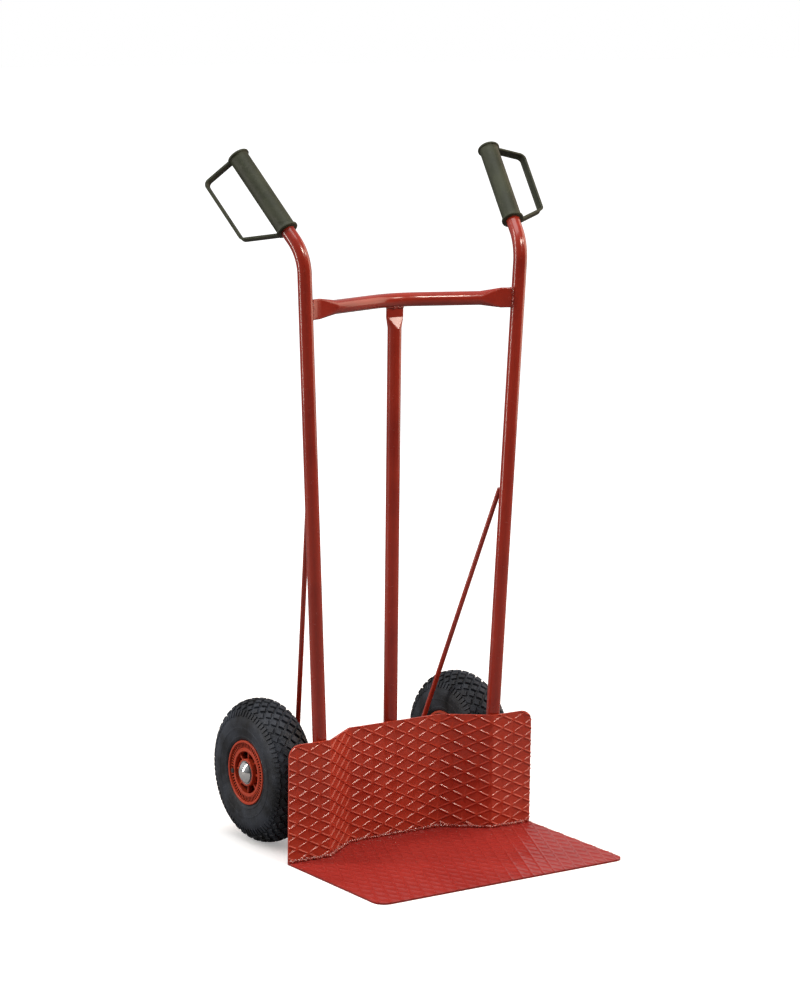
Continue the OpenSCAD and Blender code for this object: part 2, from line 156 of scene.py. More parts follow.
class Finish(Net):
    """A material. Its patterns read spot, the place on the piece."""

    def __init__(self, name):
        self.material = bpy.data.materials.new(name)
        self.material.use_nodes = True
        super().__init__(self.material.node_tree)
        self.shader = self.tree.nodes["Principled BSDF"]
        self.spot = self.add("ShaderNodeTexCoord", out="Object")

    def noise(self, scale, detail=2.0, roughness=0.5, stretch=(1, 1, 1)):
        place = self.add("ShaderNodeMapping", None, {"Vector": self.spot, "Scale": stretch})
        sockets = {"Vector": place, "Scale": scale, "Detail": detail, "Roughness": roughness}
        return self.add("ShaderNodeTexNoise", None, sockets, out="Fac")

    def mix(self, low, high, share):
        """A blend of two shades, each a colour or another blend."""
        low, high = ((*shade, 1) if isinstance(shade, tuple) else shade for shade in (low, high))
        return self.add("ShaderNodeMix", {"data_type": "RGBA"}, {0: share, 6: low, 7: high}, out=2)

    def axis(self, letter):
        return self.add("ShaderNodeSeparateXYZ", None, {0: self.spot}, out="XYZ".index(letter))

    def bump(self, height, distance):
        normal = self.add("ShaderNodeBump", None, {"Height": height, "Distance": distance})
        self.feed(self.shader.inputs["Normal"], normal)

    def wear(self, **sockets):
        for name, value in sockets.items():
            self.feed(self.shader.inputs[name.replace("_", " ").title().replace("Ior", "IOR")], value)
        return self.material


def white_room():
    """Plain white where the camera sees it. As light it is dim in front and brighter behind and above."""
    world = bpy.data.worlds.new("white_room")
    world.use_nodes = True
    net = Net(world.node_tree)
    way = net.add("ShaderNodeTexCoord", out="Generated")
    behind = net.add("ShaderNodeVectorMath", {"operation": "DOT_PRODUCT"}, {0: way, 1: (0.0, 0.8, 0.6)},
                     out="Value")
    glow = behind.between(-0.5, 1.0, ROOM_FRONT, ROOM_BACK)
    tint = net.add("ShaderNodeCombineColor", None, {0: glow, 1: glow, 2: glow})
    seen = net.add("ShaderNodeLightPath", out="Is Camera Ray")
    shade = net.add("ShaderNodeMix", {"data_type": "RGBA"}, {0: seen, 6: tint, 7: (1, 1, 1, 1)}, out=2)
    net.feed(net.tree.nodes["Background"].inputs["Color"], shade)
    scene.world = world


ROOM_FRONT, ROOM_BACK = 0.05, 0.50
white_room()


def studio_floor():
    """Nearly white where the camera sees it, fading to plain white, and darker where it lights the truck."""
    finish = Finish("pale_floor")
    seen = finish.add("ShaderNodeLightPath", out="Is Camera Ray")
    away = finish.add("ShaderNodeVectorMath", {"operation": "LENGTH"}, {0: finish.spot}, out="Value")
    glow = seen * away.between(0.5, 3.5, 0.30, 0.90)
    tint = finish.add("ShaderNodeCombineColor", None, {0: glow, 1: glow, 2: glow})
    paper = finish.mix((0.90, 0.90, 0.90), (0.93, 0.93, 0.93), finish.noise(3.0))
    finish.wear(base_color=finish.mix((0.22, 0.22, 0.22), paper, seen), roughness=0.9, emission_color=tint,
                emission_strength=1.0)
    mesh = bpy.data.meshes.new("studio_floor")
    reach = 30
    mesh.from_pydata([(-reach, -reach, 0), (reach, -reach, 0), (reach, reach, 0), (-reach, reach, 0)], [],
                     [(0, 1, 2, 3)])
    mesh.materials.append(finish.material)
    floor = bpy.data.objects.new("studio_floor", mesh)
    scene.collection.objects.link(floor)


studio_floor()


# ---- Frame tubes ----
# Two rails, a crossbar and a centre tube of 25 mm steel tube, and two 9 mm brace rods, all in gloss
# red powder coat. The rails bend back into the handles; the crossbar's ends are pressed flat and welded.
TUBE_R = 12.5 * MM
TUBE_WALL = 1.5 * MM
RAIL_X, RAIL_Y = 178 * MM, 18 * MM
RAIL_FOOT = 12 * MM
LEAN, TOE_OUT, BEND = math.radians(2.8), math.radians(10.7), math.radians(44.5)
BEND_R = 80 * MM
RAIL_RUN = 1066 * MM / math.cos(LEAN)
BEND_TANGENT = BEND_R * math.tan(BEND / 2)
GRIP_START, GRIP_L = 55 * MM, 173 * MM
RED, DEEP_RED = (0.33, 0.026, 0.012), (0.24, 0.016, 0.008)


def red_paint(name, peel=0.00012, shine=0.35):
    """Gloss red powder coat: slow shade drift, a fine orange peel, and dust specks that dull it."""
    finish = Finish(name)
    drift = finish.noise(7.0, 4.0, 0.6)
    ripple = finish.noise(420.0, 2.0)
    dust = finish.noise(95.0, 6.0, 0.7).between(0.60, 0.74)
    finish.bump(ripple + 0.4 * finish.noise(90.0), peel)
    tone = finish.mix(DEEP_RED, RED, drift.between(0.25, 0.60))
    return finish.wear(
        base_color=finish.mix(tone, (0.38, 0.09, 0.06), dust * 0.20),
        roughness=0.20 + 0.08 * drift + 0.20 * dust,
        specular_ior_level=shine,
        coat_weight=0.50,
        coat_roughness=0.03,
    )


def place(name, mesh, finish, body, slot, *nodes, sharp=35):
    """Gives a finished mesh its material and shading and its body, and hides the CAD nodes it stands for. The
    slot is not used.
    """
    mesh.materials.clear()
    mesh.materials.append(finish)
    mesh.shade_smooth()
    mesh.set_sharp_from_angle(angle=math.radians(sharp))
    thing = bpy.data.objects.new(name, mesh)
    scene.collection.objects.link(thing)
    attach(thing, body)
    if nodes:
        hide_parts(*nodes)
    return thing


def stand_in(mesh):
    """A linked object that holds a mesh for as long as a modifier needs it."""
    stand = bpy.data.objects.new("stand", mesh)
    scene.collection.objects.link(stand)
    return stand


def settled(stand):
    """The stand-in's mesh after its modifiers. The stand-in is removed."""
    graph = bpy.context.evaluated_depsgraph_get()
    result = bpy.data.meshes.new_from_object(stand.evaluated_get(graph), depsgraph=graph)
    bpy.data.objects.remove(stand)
    return result


def finished(mesh, kind, **settings):
    """The mesh after one modifier."""
    stand = stand_in(mesh)
    modifier = stand.modifiers.new(kind.lower(), kind)
    for name, value in settings.items():
        setattr(modifier, name, value)
    return settled(stand)


def cut(mesh, shape, operation):
    """The mesh after an exact boolean with another mesh."""
    cutter = stand_in(shape)
    result = finished(mesh, "BOOLEAN", object=cutter, operation=operation, solver="EXACT")
    bpy.data.objects.remove(cutter)
    return result


class Recipe(Net):
    """A Geometry Nodes tree with named inputs, given as name=(socket kind, default), and a material."""

    def __init__(self, name, **inputs):
        super().__init__(bpy.data.node_groups.new(name, "GeometryNodeTree"))
        face = self.tree.interface
        face.new_socket("Geometry", in_out="INPUT", socket_type="NodeSocketGeometry")
        for label, (kind, default) in {**inputs, "Material": ("Material", None)}.items():
            socket = face.new_socket(label, in_out="INPUT", socket_type="NodeSocket" + kind)
            if default is not None:
                socket.default_value = default
        face.new_socket("Geometry", in_out="OUTPUT", socket_type="NodeSocketGeometry")
        self.source = self.tree.nodes.new("NodeGroupInput")

    def given(self, label):
        return Amount(self, self.source.outputs[label])

    def finish(self, geometry):
        """Ends the tree: instances become real faces and take the material."""
        real = self.add("GeometryNodeRealizeInstances", None, {0: geometry})
        dressed = self.add("GeometryNodeSetMaterial", None, {0: real, "Material": self.given("Material")})
        self.tree.links.new(dressed.socket, self.tree.nodes.new("NodeGroupOutput").inputs[0])

    def run(self, mesh, **values):
        """The recipe's result on a mesh, as a plain mesh."""
        stand = stand_in(mesh)
        modifier = stand.modifiers.new("recipe", "NODES")
        modifier.node_group = self.tree
        for socket in self.tree.interface.items_tree:
            if socket.in_out == "INPUT" and socket.name in values:
                modifier[socket.identifier] = values[socket.name]
        return settled(stand)


def lines(*paths):
    """A mesh of open lines, each a list of points."""
    mesh = bpy.data.meshes.new("lines")
    points = [p for path in paths for p in path]
    starts = [sum(len(path) for path in paths[:i]) for i in range(len(paths))]
    edges = [(s + k, s + k + 1) for s, path in zip(starts, paths) for k in range(len(path) - 1)]
    mesh.from_pydata(points, edges, [])
    return mesh


def tube_recipe():
    """Sweeps a circle along the given lines."""
    recipe = Recipe("swept_tube", Radius=("Float", TUBE_R), Sides=("Int", 48), Capped=("Bool", False))
    path = recipe.add("GeometryNodeMeshToCurve", None, {0: recipe.given("Geometry")})
    circle = recipe.add("GeometryNodeCurvePrimitiveCircle", None,
                        {"Resolution": recipe.given("Sides"), "Radius": recipe.given("Radius")})
    recipe.finish(recipe.add("GeometryNodeCurveToMesh", None,
                             {0: path, 1: circle, "Fill Caps": recipe.given("Capped")}))
    return recipe


def rail_line(side):
    """The rail's lower centre line as a frame: its Z runs up the rail from the floor."""
    flip = Matrix.Diagonal((side, 1, 1, 1))
    return flip @ Matrix.Translation((RAIL_X, RAIL_Y, 0)) @ Matrix.Rotation(LEAN, 4, "Y")


def bend_start(side):
    """The corner where the rail's two straights would meet, turned to face the bend."""
    return rail_line(side) @ Matrix.Translation((0, 0, RAIL_RUN)) @ Matrix.Rotation(-TOE_OUT, 4, "Z")


def handle_line(side):
    """The handle's centre line as a frame, from the corner where it would meet the rail's."""
    return bend_start(side) @ Matrix.Rotation(-BEND, 4, "X")


def rail_path(side):
    """The rail's centre line from its foot, round the bend and up the handle."""
    steps = 20
    line = rail_line(side)
    path = [line @ Vector((0, 0, RAIL_FOOT / math.cos(LEAN))), line @ Vector((0, 0, RAIL_RUN / 2))]
    turn = bend_start(side)
    for k in range(steps + 1):
        a = BEND * k / steps
        path.append(turn @ Vector((0, BEND_R * (1 - math.cos(a)), BEND_R * math.sin(a) - BEND_TANGENT)))
    path.append(handle_line(side) @ Vector((0, 0, GRIP_START + GRIP_L - 7 * MM)))
    return path


tube_paint = red_paint("gloss_red_tube")
swept = tube_recipe()
for side, word in ((-1, "left"), (1, "right")):
    open_tube = swept.run(lines(rail_path(side)), Radius=TUBE_R, Material=tube_paint)
    walled = finished(open_tube, "SOLIDIFY", thickness=TUBE_WALL, offset=-1, use_rim=True)
    place(word + "_rail_tube", walled, tube_paint, "frame", "frame_paint", word + "_rail", sharp=50)


def mirrored(points):
    """The same points on the other side of the centre plane."""
    return [Vector((-p.x, p.y, p.z)) for p in points]


BRACE_TOP, BRACE_FOOT = Vector((206.5, 35.5, 624)) * MM, Vector((128.6, 187, 112)) * MM
BRACE_R = 4.5 * MM
for side, word in ((-1, "left"), (1, "right")):
    ends = [BRACE_FOOT, BRACE_TOP] if side > 0 else mirrored([BRACE_FOOT, BRACE_TOP])
    rod = swept.run(lines([ends[0], ends[0].lerp(ends[1], 0.5), ends[1]]), Radius=BRACE_R, Sides=24,
                    Capped=True, Material=tube_paint)
    place(word + "_brace_rod", rod, tube_paint, "frame", "frame_paint", word + "_brace", sharp=50)


def walls(shell, rows):
    """Adds the faces between each closed row of points and the next."""
    for low, high in zip(rows, rows[1:]):
        for i in range(len(low)):
            j = (i + 1) % len(low)
            shell.faces.new((low[i], low[j], high[j], high[i]))


def made(shell, name):
    """The shell as a mesh. The shell is freed."""
    mesh = bpy.data.meshes.new(name)
    shell.to_mesh(mesh)
    shell.free()
    return mesh


def skin(rings):
    """A closed mesh over rings of points that all have the same count."""
    shell = bmesh.new()
    rows = [[shell.verts.new(p) for p in ring] for ring in rings]
    walls(shell, rows)
    shell.faces.new(reversed(rows[0]))
    shell.faces.new(rows[-1])
    bmesh.ops.recalc_face_normals(shell, faces=shell.faces)
    return made(shell, "skin")


PRESSED_W, PRESSED_T = 36 * MM, 5 * MM
CROSSBAR_Z, CROSSBAR_Y = 971.5 * MM, 80 * MM
CROSSBAR_R, SLOPE = 150 * MM, math.radians(18)
PRESS_L, PRESS_TAB_L = 40 * MM, 21 * MM
CROSSBAR_END_X = RAIL_X + CROSSBAR_Z * math.tan(LEAN) - TUBE_R


def pressed_ring(centre, wide, thin, press, sides=48):
    """A tube's outline at a point: round at press 0 and squeezed between flats to a tab at press 1."""
    half_t = TUBE_R + (PRESSED_T / 2 - TUBE_R) * max(0.0, min(1.0, press))
    flat = (TUBE_R - half_t) * (PRESSED_W - PRESSED_T) / (2 * TUBE_R - PRESSED_T)
    ring = []
    for k in range(sides):
        a = 2 * math.pi * (k + 0.5) / sides
        w = half_t * math.sin(a) + math.copysign(flat, math.sin(a))
        ring.append(centre + wide * w + thin * (half_t * math.cos(a)))
    return ring


def crossbar_mesh():
    """Bowed tube whose ends slope forward to the rails and are pressed to tabs."""
    up = Vector((0, 0, 1))
    leg_x = CROSSBAR_R * math.sin(SLOPE)
    leg_l = (CROSSBAR_END_X - leg_x) / math.cos(SLOPE)
    half = []
    for k in range(9):
        a = SLOPE * k / 8
        at = Vector((CROSSBAR_R * math.sin(a), CROSSBAR_Y - CROSSBAR_R * (1 - math.cos(a)), CROSSBAR_Z))
        half.append((at, a, 0.0))
    corner = half[-1][0]
    along = Vector((math.cos(SLOPE), -math.sin(SLOPE), 0))
    round_l = leg_l - PRESS_L - PRESS_TAB_L
    for distance in [round_l * 0.5] + [round_l + PRESS_L * i / 12 for i in range(13)] + [leg_l - 0.5 * MM]:
        half.append((corner + along * distance, SLOPE, (distance - round_l) / PRESS_L))
    right = [pressed_ring(at, up, Vector((math.sin(a), math.cos(a), 0)), press) for at, a, press in half]
    left = [mirrored(ring) for ring in right[:0:-1]]
    return skin(left + right)


place("crossbar_tube", crossbar_mesh(), tube_paint, "frame", "frame_paint", "crossbar", sharp=16)

PLATE_BACK_Y = 60 * MM
CENTRE_LOW_Y = PLATE_BACK_Y + TUBE_R + 0.1 * MM


def centre_tube_mesh():
    """Upright tube whose top is pressed to a tab under the crossbar."""
    lean = math.atan2(CROSSBAR_Y - 2 * MM - CENTRE_LOW_Y, CROSSBAR_Z)
    tab_low, tab_top = CROSSBAR_Z - 30 * MM, CROSSBAR_Z - TUBE_R + 0.5 * MM
    press_low = tab_low - 19 * MM
    pressed = [press_low + (tab_low - press_low) * i / 8 for i in range(9)]
    heights = [RAIL_FOOT, 0.3, 0.6] + pressed + [tab_top]
    thin = Vector((0, 1, 0))
    rings = []
    for z in heights:
        at = Vector((0, CENTRE_LOW_Y + (z - RAIL_FOOT) * math.tan(lean), z))
        rings.append(pressed_ring(at, Vector((1, 0, 0)), thin, (z - press_low) / (tab_low - press_low)))
    return skin(rings)


place("centre_tube_pressed", centre_tube_mesh(), tube_paint, "frame", "frame_paint", "centre_tube", sharp=16)


# ---- Chequered plates ----
# Toe plate and back plate are 3 mm steel sheet rolled with a raised diamond lattice, cut to shape and
# powder coated. The back plate is folded four times so that its middle stands back from the load.
SHEET_T = 3 * MM
PLATE_W, TOE_DEPTH, BACK_H = 525 * MM, 285 * MM, 214 * MM
OUTER_FOLD, INNER_FOLD, RECESS = 176 * MM, 99 * MM, 57 * MM
CORNER_R = 22 * MM
FOLD_R = 7 * MM
DIAMOND_L, DIAMOND_W = 48 * MM, 23 * MM
RIB_H = 1.5 * MM
FOLD = math.atan2(RECESS, OUTER_FOLD - INNER_FOLD)


def diamond_cell():
    """One diamond of the sheet: half a rib along each side, lower at the crossings, and the flat inside."""
    a, b = DIAMOND_L / 2, DIAMOND_W / 2
    reach = a * b / math.hypot(a, b)
    flank = [(0.0, 1.0), (0.5, 0.93), (1.1, 0.66), (2.3, 0.0)]
    crest = [(0.0, 0.50), (0.09, 0.66), (0.18, 0.93), (0.26, 1.0), (0.74, 1.0), (0.82, 0.93), (0.91, 0.66)]
    corners = [Vector((a, 0, 0)), Vector((0, b, 0)), Vector((-a, 0, 0)), Vector((0, -b, 0))]
    outline = [(corners[i].lerp(corners[(i + 1) % 4], share), rise)
               for i in range(4) for share, rise in crest]
    shell = bmesh.new()
    rows = [[shell.verts.new(point * (1 - inward * MM / reach) + Vector((0, 0, RIB_H * height * rise)))
             for point, rise in outline] for inward, height in flank]
    walls(shell, rows)
    shell.faces.new(rows[-1])
    return made(shell, "diamond_cell")


def lattice_recipe():
    """Sets the cell at every point of two staggered grids and joins the edges."""
    recipe = Recipe("chequer_lattice", Cell=("Object", None), Columns=("Int", 12), Rows=("Int", 12),
                    Length=("Float", DIAMOND_L), Width=("Float", DIAMOND_W))
    columns, rows = recipe.given("Columns"), recipe.given("Rows")
    length, width = recipe.given("Length"), recipe.given("Width")
    size = {"Size X": (columns - 1) * length, "Size Y": (rows - 1) * width}
    grid = recipe.add("GeometryNodeMeshGrid", None, {**size, "Vertices X": columns, "Vertices Y": rows})
    step = recipe.add("ShaderNodeCombineXYZ", None, {0: length / 2, 1: width / 2})
    second = recipe.add("GeometryNodeTransform", None, {0: grid, "Translation": step})
    both = recipe.add("GeometryNodeJoinGeometry", None, {0: grid})
    recipe.tree.links.new(second.socket, both.socket.node.inputs[0])
    cell = recipe.add("GeometryNodeObjectInfo", None, {0: recipe.given("Cell")}, out="Geometry")
    cells = recipe.add("GeometryNodeInstanceOnPoints", None, {"Points": both, "Instance": cell})
    real = recipe.add("GeometryNodeRealizeInstances", None, {0: cells})
    recipe.finish(recipe.add("GeometryNodeMergeByDistance", None, {0: real, "Distance": 0.05 * MM}))
    return recipe


def slab(mesh, outline, turned=False, relief=1.0):
    """The lattice cut to an outline and closed to a full sheet, its plain face at -SHEET_T. Relief scales
    the height of the ribs."""
    shell = bmesh.new()
    shell.from_mesh(mesh)
    bmesh.ops.scale(shell, vec=(1, 1, relief), verts=shell.verts)
    if turned:
        bmesh.ops.rotate(shell, verts=shell.verts, matrix=Matrix.Rotation(math.pi / 2, 3, "Z"))
    rim = [e for e in shell.edges if e.is_boundary]
    grown = bmesh.ops.extrude_edge_only(shell, edges=rim)["geom"]
    low = [v for v in grown if isinstance(v, bmesh.types.BMVert)]
    for v in low:
        v.co.z = -SHEET_T
    bmesh.ops.edgeloop_fill(shell, edges=[e for e in shell.edges if e.is_boundary])
    bmesh.ops.recalc_face_normals(shell, faces=shell.faces)
    shape = skin([[(x, y, z) for x, y in outline] for z in (-2 * SHEET_T, 2 * SHEET_T)])
    return cut(made(shell, "sheet"), shape, "INTERSECT")


def arc(x, y, r, start, end, steps=8):
    """Points of an arc about (x, y) between two angles in degrees."""
    angles = [math.radians(start + (end - start) * k / steps) for k in range(steps + 1)]
    return [(x + r * math.cos(a), y + r * math.sin(a)) for a in angles]


def plate_paint_finish(name, low, high):
    """The same powder coat between two given shades, with scuffs drawn along the load's way."""
    finish = Finish(name)
    drift = finish.noise(5.0, 4.0, 0.6)
    scuff = finish.noise(160.0, 5.0, 0.65, (1.0, 0.12, 1.0)).between(0.62, 0.78)
    scuff = scuff * finish.noise(9.0).between(0.45, 0.62)
    finish.bump(finish.noise(380.0, 2.0) + 0.5 * finish.noise(70.0), 0.00014)
    tone = finish.mix(low, high, drift.between(0.30, 0.68))
    return finish.wear(
        base_color=finish.mix(tone, (0.44, 0.12, 0.08), scuff * 0.30),
        roughness=0.26 + 0.10 * drift + 0.25 * scuff,
        specular_ior_level=0.30,
        coat_weight=0.15,
        coat_roughness=0.10,
    )


# Both plates carry the same powder coat. The toe plate's copy is painted darker than the back plate's, as
# painted shade on its upward face.
shaded_toe_paint = plate_paint_finish("gloss_red_toe_plate", (0.29, 0.021, 0.017), (0.35, 0.029, 0.023))
back_paint = plate_paint_finish("gloss_red_back_plate", (0.42, 0.040, 0.020), (0.52, 0.056, 0.028))
cell = stand_in(diamond_cell())
lattice = lattice_recipe()
chequer = lattice.run(bpy.data.meshes.new("start"), Cell=cell, Columns=14, Rows=26, Material=back_paint)
bpy.data.objects.remove(cell)


def toe_plate_mesh():
    """Flat sheet on the floor: front corners rounded, rear edge cut to the back plate's folds."""
    half, step = PLATE_W / 2, SHEET_T * math.tan(FOLD / 2)
    front = arc(-half + CORNER_R, -TOE_DEPTH + CORNER_R, CORNER_R, 180, 270)
    front += arc(half - CORNER_R, -TOE_DEPTH + CORNER_R, CORNER_R, 270, 360)
    rear = [(half, SHEET_T), (OUTER_FOLD + step, SHEET_T), (INNER_FOLD + step, RECESS + SHEET_T)]
    outline = front + rear + [(-x, y) for x, y in reversed(rear)]
    mesh = slab(chequer, outline, turned=True, relief=0.6)
    mesh.transform(Matrix.Translation((0, 0, SHEET_T)))
    return mesh


place("toe_plate_sheet", toe_plate_mesh(), shaded_toe_paint, "frame", "plate_paint", "toe_plate", sharp=28)


def fold_course():
    """The back plate's front face from left to right, as (length, turn) of each straight and arc."""
    back_off = FOLD_R * math.tan(FOLD / 2)
    slant = math.hypot(RECESS, OUTER_FOLD - INNER_FOLD)
    straights = [PLATE_W / 2 - OUTER_FOLD - back_off, slant - 2 * back_off, 2 * INNER_FOLD - 2 * back_off]
    straights = straights + straights[1::-1]
    turns = [FOLD, -FOLD, -FOLD, FOLD]
    course = []
    for i, straight in enumerate(straights):
        course.append((straight, 0.0))
        if i < 4:
            course.append((FOLD_R * FOLD, turns[i]))
    return course


def folded(u, course):
    """The point and the outward normal of the folded face at a distance u along it."""
    x, y, heading = -PLATE_W / 2, 0.0, 0.0
    for length, turn in course:
        share = min(1.0, u / length)
        if turn:
            swing = math.copysign(FOLD_R, turn)
            new = heading + turn * share
            x += swing * (math.sin(new) - math.sin(heading))
            y -= swing * (math.cos(new) - math.cos(heading))
            heading = new
        else:
            x += length * share * math.cos(heading)
            y += length * share * math.sin(heading)
        u -= length
        if u <= 0:
            break
    return Vector((x, y, 0)), Vector((math.sin(heading), -math.cos(heading), 0))


def back_plate_mesh():
    """A flat sheet cut to a rounded outline, then folded."""
    course = fold_course()
    width = sum(length for length, _ in course)
    high = BACK_H - SHEET_T
    outline = [(-width / 2, 0), (width / 2, 0)]
    outline += arc(width / 2 - CORNER_R, high - CORNER_R, CORNER_R, 0, 90)
    outline += arc(-width / 2 + CORNER_R, high - CORNER_R, CORNER_R, 90, 180)
    flat = slab(chequer, outline)
    shell = bmesh.new()
    shell.from_mesh(flat)
    reached = -width / 2
    for length, turn in course:
        creases = [reached + length * k / 5 for k in range(6)] if turn else []
        for crease in creases:
            geometry = shell.verts[:] + shell.edges[:] + shell.faces[:]
            bmesh.ops.bisect_plane(shell, geom=geometry, plane_co=(crease, 0, 0), plane_no=(1, 0, 0))
        reached += length
    for v in shell.verts:
        at, normal = folded(max(0.0, v.co.x + width / 2), course)
        v.co = at + normal * v.co.z + Vector((0, 0, SHEET_T + v.co.y))
    bmesh.ops.recalc_face_normals(shell, faces=shell.faces)
    shell.to_mesh(flat)
    shell.free()
    return flat


place("back_plate_sheet", back_plate_mesh(), back_paint, "frame", "plate_paint", "back_plate", sharp=28)


# ---- Weld beads ----
# Hand-laid beads of overlapping pools, painted over: the long one joins the toe plate to the back plate,
# short ones hold the crossbar, the centre tube, the braces, the rails and the axle brackets.
AXLE_Y, AXLE_Z = frame["joints"][0]["pos_m"][1], frame["joints"][0]["pos_m"][2]
WHEEL_X = abs(frame["joints"][0]["pos_m"][0])
AXLE_TUBE_R = 17 * MM
BRACKET_X, BRACKET_T = 140 * MM, 6 * MM


def bead_recipe():
    """Lays a blob at every step along the lines, each a little different."""
    recipe = Recipe("weld_bead", Step=("Float", 2.6 * MM), Size=("Float", 3 * MM), Seed=("Int", 4))
    seed = recipe.given("Seed")
    path = recipe.add("GeometryNodeMeshToCurve", None, {0: recipe.given("Geometry")})
    points = recipe.add("GeometryNodeCurveToPoints", {"mode": "LENGTH"},
                        {0: path, "Length": recipe.given("Step")})
    size = recipe.given("Size")
    drift = recipe.add("FunctionNodeRandomValue", {"data_type": "FLOAT_VECTOR"},
                       {0: (-0.22, -0.22, -0.22), 1: (0.22, 0.22, 0.22), "Seed": seed})
    shift = recipe.add("ShaderNodeVectorMath", {"operation": "SCALE"}, {0: drift, "Scale": size})
    points = recipe.add("GeometryNodeSetPosition", None, {0: points, "Offset": shift})
    blob = recipe.add("GeometryNodeMeshIcoSphere", None, {"Radius": size, "Subdivisions": 2})
    spin = recipe.add("FunctionNodeRandomValue", {"data_type": "FLOAT_VECTOR"},
                      {0: (0, 0, 0), 1: (6.28, 6.28, 6.28), "Seed": seed + 1})
    grow = recipe.add("FunctionNodeRandomValue", {"data_type": "FLOAT_VECTOR"},
                      {0: (0.5, 0.55, 0.5), 1: (1.3, 1.2, 1.3), "Seed": seed + 2})
    recipe.finish(recipe.add("GeometryNodeInstanceOnPoints", None,
                             {"Points": points, "Instance": blob, "Rotation": spin, "Scale": grow}))
    return recipe


bead = bead_recipe()
weld_paint = red_paint("gloss_red_weld", 0.0010, shine=1.0)
seam_height = SHEET_T + 2.4 * MM
inner = INNER_FOLD - 1 * MM
seam = [(-PLATE_W / 2 + 4 * MM, -1.5 * MM), (-OUTER_FOLD, -1.5 * MM), (-inner, RECESS - 1.5 * MM),
        (inner, RECESS - 1.5 * MM), (OUTER_FOLD, -1.5 * MM), (PLATE_W / 2 - 4 * MM, -1.5 * MM)]
toe_bead = bead.run(lines([Vector((x, y, seam_height)) for x, y in seam]), Size=3.5 * MM, Material=weld_paint)
place("toe_weld_bead", toe_bead, weld_paint, "frame", "plate_paint", "toe_weld", sharp=60)


def panel_back(x):
    """How far back the slanted panel's rear face stands at a distance x from the centre line."""
    return (OUTER_FOLD - x) * math.tan(FOLD) + SHEET_T / math.cos(FOLD)


def joint_paths():
    """The beads of one side: rail to flange, crossbar to rail, brace ends, bracket to plate and tube."""
    line = rail_line(1)
    flange = [[line @ Vector((dx, 2.5 * MM + SHEET_T - RAIL_Y, z)) for z in (26 * MM, 192 * MM)]
              for dx in (-6 * MM, 6 * MM)]
    tab = [[Vector((CROSSBAR_END_X - 0.5 * MM, RAIL_Y + 1 * MM + dy, CROSSBAR_Z + dz))
            for dz in (-16 * MM, 16 * MM)] for dy in (-3.5 * MM, 4.5 * MM)]
    brace = [[BRACE_TOP + Vector((1, -3.5, -3)) * MM, BRACE_TOP + Vector((-2, -1.5, -26)) * MM]]
    foot = [[Vector((131 * MM + dx, AXLE_Y + AXLE_TUBE_R + 1.5 * MM, AXLE_Z + dz))
             for dz in (-6 * MM, 6 * MM)] for dx in (-4.5 * MM, 4.5 * MM)]
    bracket = [[Vector((BRACKET_X + dx, panel_back(BRACKET_X + dx) + 0.5 * MM, z))
                for z in (50 * MM, 194 * MM)] for dx in (-4 * MM, 4 * MM)]
    eye_ring = [Vector((BRACKET_X - BRACKET_T / 2 - 1 * MM, AXLE_Y + (AXLE_TUBE_R + 0.5 * MM) * math.cos(a),
                        AXLE_Z + (AXLE_TUBE_R + 0.5 * MM) * math.sin(a)))
                for a in [math.radians(10 * k) for k in range(37)]]
    return flange + tab + brace + foot + bracket + [eye_ring]


centre_paths = [[Vector((x, CROSSBAR_Y - 2 * MM + dy, CROSSBAR_Z - TUBE_R + 0.3 * MM))
                 for x in (-15 * MM, 15 * MM)] for dy in (-3.6 * MM, 3.6 * MM)]
right_paths = joint_paths()
left_paths = [mirrored(path) for path in right_paths]
frame_bead = bead.run(lines(*right_paths, *left_paths, *centre_paths), Size=2.4 * MM, Step=2.2 * MM, Seed=9,
                      Material=weld_paint)
place("frame_weld_beads", frame_bead, weld_paint, "frame", "frame_paint", "frame_welds", sharp=60)


# ---- Axle group ----
# A plain steel bar through the wheels, held in a red painted tube that two flat brackets carry from
# the back plate. Turned steel bushes centre the bar and space the wheels; a thin washer ends each side.
def healed(mesh, move=None):
    """Applies a move, joins touching points and turns every face outward."""
    shell = bmesh.new()
    shell.from_mesh(mesh)
    if move:
        bmesh.ops.transform(shell, matrix=move, verts=shell.verts)
    bmesh.ops.remove_doubles(shell, verts=shell.verts, dist=0.002 * MM)
    bmesh.ops.recalc_face_normals(shell, faces=shell.faces)
    shell.to_mesh(mesh)
    shell.free()
    return mesh


def from_cad(name, finish, body, slot, node, edge=0.0):
    """A smooth-shaded copy of a CAD node, its hard edges broken when edge is given."""
    mesh = healed(frame["nodes"][node].data.copy())
    if edge:
        mesh = finished(mesh, "BEVEL", width=edge, segments=2, limit_method="ANGLE",
                        angle_limit=math.radians(40))
    return place(name, mesh, finish, body, slot, node)


def zinc_finish():
    """Zinc-plated steel: turning marks round the bar and a soft grey drift."""
    finish = Finish("zinc_steel")
    drift = finish.noise(40.0, 4.0)
    rings = finish.noise(55.0, 3.0, 0.6, (18.0, 1.0, 1.0))
    finish.bump(rings, 0.00006)
    return finish.wear(
        base_color=finish.mix((0.42, 0.43, 0.45), (0.60, 0.61, 0.62), drift),
        roughness=0.28 + 0.22 * rings,
        metallic=1.0,
    )


zinc = zinc_finish()
from_cad("axle_bar", zinc, "frame", "zinc_steel", "axle", 0.8 * MM)
from_cad("axle_tube_painted", tube_paint, "frame", "frame_paint", "axle_tube", 0.5 * MM)
for word in ("left", "right"):
    from_cad(word + "_bracket_plate", tube_paint, "frame", "frame_paint", word + "_axle_bracket", 0.8 * MM)
    from_cad(word + "_bush", zinc, "frame", "zinc_steel", word + "_axle_bush", 0.4 * MM)
    from_cad(word + "_washer", zinc, "frame", "zinc_steel", word + "_hub_washer")


